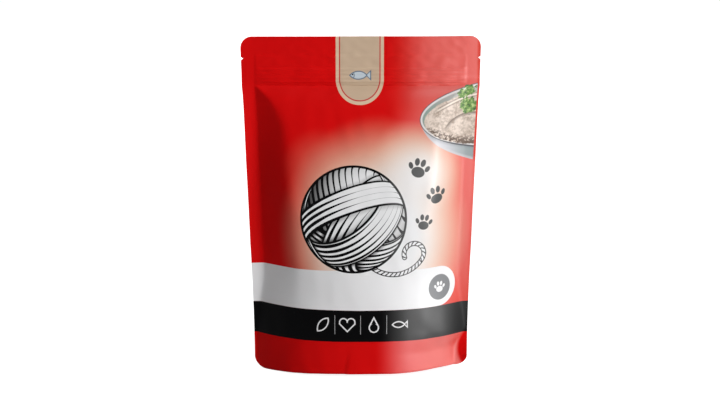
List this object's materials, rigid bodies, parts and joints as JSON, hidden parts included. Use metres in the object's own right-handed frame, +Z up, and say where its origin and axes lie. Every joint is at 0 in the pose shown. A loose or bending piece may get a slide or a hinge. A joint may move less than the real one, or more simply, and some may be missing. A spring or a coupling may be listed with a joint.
{
  "type": "wet cat food pouch",
  "caption": "Filled stand-up pouch of printed laminate film, heat-sealed all round, that holds one serving of wet cat food and stands on its folded base.",
  "frame": {"origin": "on the ground, under the middle of the standing pouch", "axes": "+Z up, -Y out of the front panel, +X to the right as the front is seen"},
  "size_m": [0.0948, 0.033, 0.135],
  "materials": {
    "printed_film": "red printed laminate film with a satin lacquer"
  },
  "bodies": {
    "root": {"pouch": "printed_film"}
  },
  "joints": []
}
